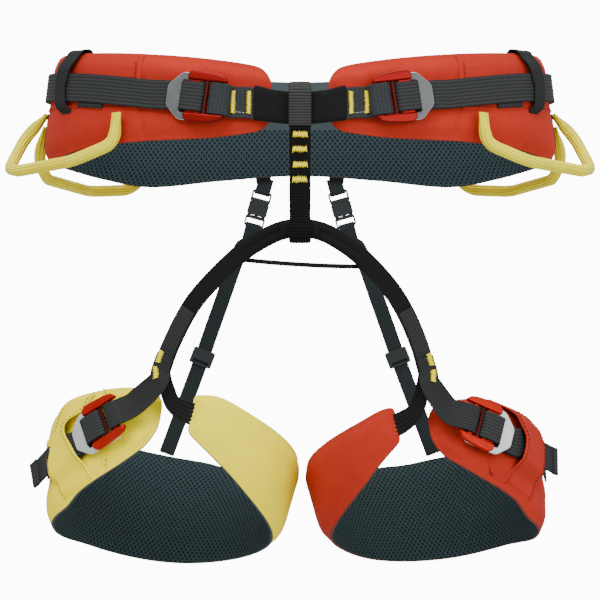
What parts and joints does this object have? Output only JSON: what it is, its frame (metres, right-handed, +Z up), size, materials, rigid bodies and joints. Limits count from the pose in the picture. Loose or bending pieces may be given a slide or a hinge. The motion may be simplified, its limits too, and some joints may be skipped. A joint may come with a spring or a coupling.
{
  "type": "climbing harness",
  "caption": "Padded sit harness: waist belt and leg loops closed by double-plate buckles and joined by a front belay loop, leg bridge and rear straps, with side gear loops.",
  "frame": {"origin": "centre of the waist opening, level with the sewn tie-in webbing", "axes": "+X to the wearer's left and -Y to the front, +Z up"},
  "size_m": [0.4238, 0.2429, 0.3688],
  "materials": {
    "shell_red": "matte",
    "shell_yellow": "matte",
    "foam": "matte",
    "mesh_lining": "matte",
    "webbing_grey": "matte",
    "webbing_black": "matte",
    "thread_yellow": "satin",
    "buckle_grey": "satin",
    "buckle_silver": "satin",
    "buckle_red": "anodised satin",
    "gear_tube": "satin",
    "trim_plastic": "matte"
  },
  "bodies": {
    "waist_belt": {"waist_shell": "shell_red", "waist_foam": "foam", "waist_lining": "mesh_lining", "waist_webbing": "webbing_grey", "tie_in_webbing": "webbing_grey", "tie_in_sleeve": "webbing_black", "tie_in_bartacks": "thread_yellow", "leg_spreader": "webbing_black", "waist_side_panel_right": "shell_red", "waist_side_panel_left": "shell_red", "waist_tail_right": "webbing_grey", "waist_tail_left": "webbing_grey", "waist_keeper_right": "webbing_grey", "waist_keeper_left": "webbing_grey", "rear_strap_upper_right": "webbing_grey", "rear_strap_upper_left": "webbing_grey", "rear_strap_lower_right": "webbing_grey", "rear_strap_lower_left": "webbing_grey", "rear_buckle_female_right": "trim_plastic", "rear_buckle_female_left": "trim_plastic", "leg_arm_right": "webbing_grey", "leg_arm_left": "webbing_grey"},
    "belay_loop": {"belay_loop": "webbing_black", "belay_loop_bartacks": "thread_yellow", "leg_bridge_sleeve": "webbing_black"},
    "gear_loop_front_right": {"gear_loop_front_right": "gear_tube"},
    "gear_loop_rear_right": {"gear_loop_rear_right": "gear_tube"},
    "waist_buckle_right": {"waist_buckle_slider_right": "buckle_red", "waist_buckle_frame_right": "buckle_grey", "waist_fold_right": "webbing_grey"},
    "leg_loop_right": {"leg_shell_right": "shell_yellow", "leg_foam_right": "foam", "leg_lining_right": "mesh_lining", "leg_webbing_right": "webbing_grey", "leg_keeper_right": "shell_yellow", "leg_riser_right": "webbing_grey", "leg_riser_bartacks_right": "thread_yellow", "leg_inner_strap_right": "webbing_black"},
    "leg_buckle_right": {"leg_buckle_slider_right": "buckle_red", "leg_buckle_frame_right": "buckle_silver"},
    "rear_release_right": {"rear_buckle_male_right": "trim_plastic"},
    "rear_adjuster_right": {"rear_adjuster_right": "trim_plastic"},
    "gear_loop_front_left": {"gear_loop_front_left": "gear_tube"},
    "gear_loop_rear_left": {"gear_loop_rear_left": "gear_tube"},
    "waist_buckle_left": {"waist_buckle_slider_left": "buckle_red", "waist_buckle_frame_left": "buckle_grey", "waist_fold_left": "webbing_grey"},
    "leg_loop_left": {"leg_shell_left": "shell_red", "leg_foam_left": "foam", "leg_lining_left": "mesh_lining", "leg_webbing_left": "webbing_grey", "leg_keeper_left": "shell_red", "leg_riser_left": "webbing_grey", "leg_riser_bartacks_left": "thread_yellow", "leg_inner_strap_left": "webbing_black"},
    "leg_buckle_left": {"leg_buckle_slider_left": "buckle_red", "leg_buckle_frame_left": "buckle_silver"},
    "rear_release_left": {"rear_buckle_male_left": "trim_plastic"},
    "rear_adjuster_left": {"rear_adjuster_left": "trim_plastic"}
  },
  "joints": [
    {"name": "belay_loop_swing", "type": "hinge", "parent": "waist_belt", "child": "belay_loop", "pos_m": [0, -0.114, 0.001], "axis": [-1, 0, 0], "range_deg": [-5, 30], "deforming": ["tie_in_webbing", "tie_in_sleeve", "leg_arm_right", "leg_arm_left"]},
    {"name": "gear_loop_front_right_flex", "type": "hinge", "parent": "waist_belt", "child": "gear_loop_front_right", "pos_m": [-0.15725, -0.03875, 0.0015], "axis": [-0.5409, 0.8399, 0.044], "range_deg": [0, 30], "stiffness_Nm_per_rad": 0.08},
    {"name": "gear_loop_rear_right_flex", "type": "hinge", "parent": "waist_belt", "child": "gear_loop_rear_right", "pos_m": [-0.14925, 0.06175, -0.004], "axis": [0.7219, 0.692, 0], "range_deg": [0, 30], "stiffness_Nm_per_rad": 0.08},
    {"name": "waist_buckle_right_tilt", "type": "hinge", "parent": "waist_belt", "child": "waist_buckle_right", "pos_m": [-0.0586, -0.11265, 0.00686], "axis": [0.1446, 0.0835, 0.986], "range_deg": [0, 25], "deforming": ["tie_in_webbing", "waist_webbing"]},
    {"name": "leg_buckle_right_tilt", "type": "hinge", "parent": "leg_loop_right", "child": "leg_buckle_right", "pos_m": [-0.13057, -0.07934, -0.21065], "axis": [-0.3143, 0.507, 0.8026], "range_deg": [0, 25], "deforming": ["leg_riser_right", "leg_webbing_right"]},
    {"name": "rear_release_right_slide", "type": "slide", "parent": "waist_belt", "child": "rear_release_right", "axis": [-0.2672, -0.0592, -0.9618], "range_m": [0, 0.012], "deforming": ["rear_strap_lower_right"]},
    {"name": "rear_adjuster_right_slide", "type": "slide", "parent": "waist_belt", "child": "rear_adjuster_right", "axis": [0.3598, 0.0574, 0.9313], "range_m": [-0.004, 0.03]},
    {"name": "leg_loop_right_swing", "type": "hinge", "parent": "waist_belt", "child": "leg_loop_right", "pos_m": [-0.092, 0, -0.1], "axis": [-1, 0, 0], "range_deg": [-8, 20], "deforming": ["leg_arm_right", "rear_strap_lower_right", "leg_spreader", "leg_inner_strap_right", "leg_riser_right"]},
    {"name": "gear_loop_front_left_flex", "type": "hinge", "parent": "waist_belt", "child": "gear_loop_front_left", "pos_m": [0.15725, -0.03875, 0.0015], "axis": [-0.5409, -0.8399, -0.044], "range_deg": [0, 30], "stiffness_Nm_per_rad": 0.08},
    {"name": "gear_loop_rear_left_flex", "type": "hinge", "parent": "waist_belt", "child": "gear_loop_rear_left", "pos_m": [0.14925, 0.06175, -0.004], "axis": [0.7219, -0.692, 0], "range_deg": [0, 30], "stiffness_Nm_per_rad": 0.08},
    {"name": "waist_buckle_left_tilt", "type": "hinge", "parent": "waist_belt", "child": "waist_buckle_left", "pos_m": [0.0586, -0.11265, 0.00686], "axis": [0.1446, -0.0835, -0.986], "range_deg": [0, 25], "deforming": ["tie_in_webbing", "waist_webbing"]},
    {"name": "leg_buckle_left_tilt", "type": "hinge", "parent": "leg_loop_left", "child": "leg_buckle_left", "pos_m": [0.11953, -0.08118, -0.21257], "axis": [-0.2473, -0.3956, -0.8845], "range_deg": [0, 25], "deforming": ["leg_riser_left", "leg_webbing_left"]},
    {"name": "rear_release_left_slide", "type": "slide", "parent": "waist_belt", "child": "rear_release_left", "axis": [0.2672, -0.0592, -0.9618], "range_m": [0, 0.012], "deforming": ["rear_strap_lower_left"]},
    {"name": "rear_adjuster_left_slide", "type": "slide", "parent": "waist_belt", "child": "rear_adjuster_left", "axis": [-0.3598, 0.0574, 0.9313], "range_m": [-0.004, 0.03]},
    {"name": "leg_loop_left_swing", "type": "hinge", "parent": "waist_belt", "child": "leg_loop_left", "pos_m": [0.092, 0, -0.1], "axis": [-1, 0, 0], "range_deg": [-8, 20], "deforming": ["leg_arm_left", "rear_strap_lower_left", "leg_spreader", "leg_inner_strap_left", "leg_riser_left"]}
  ]
}
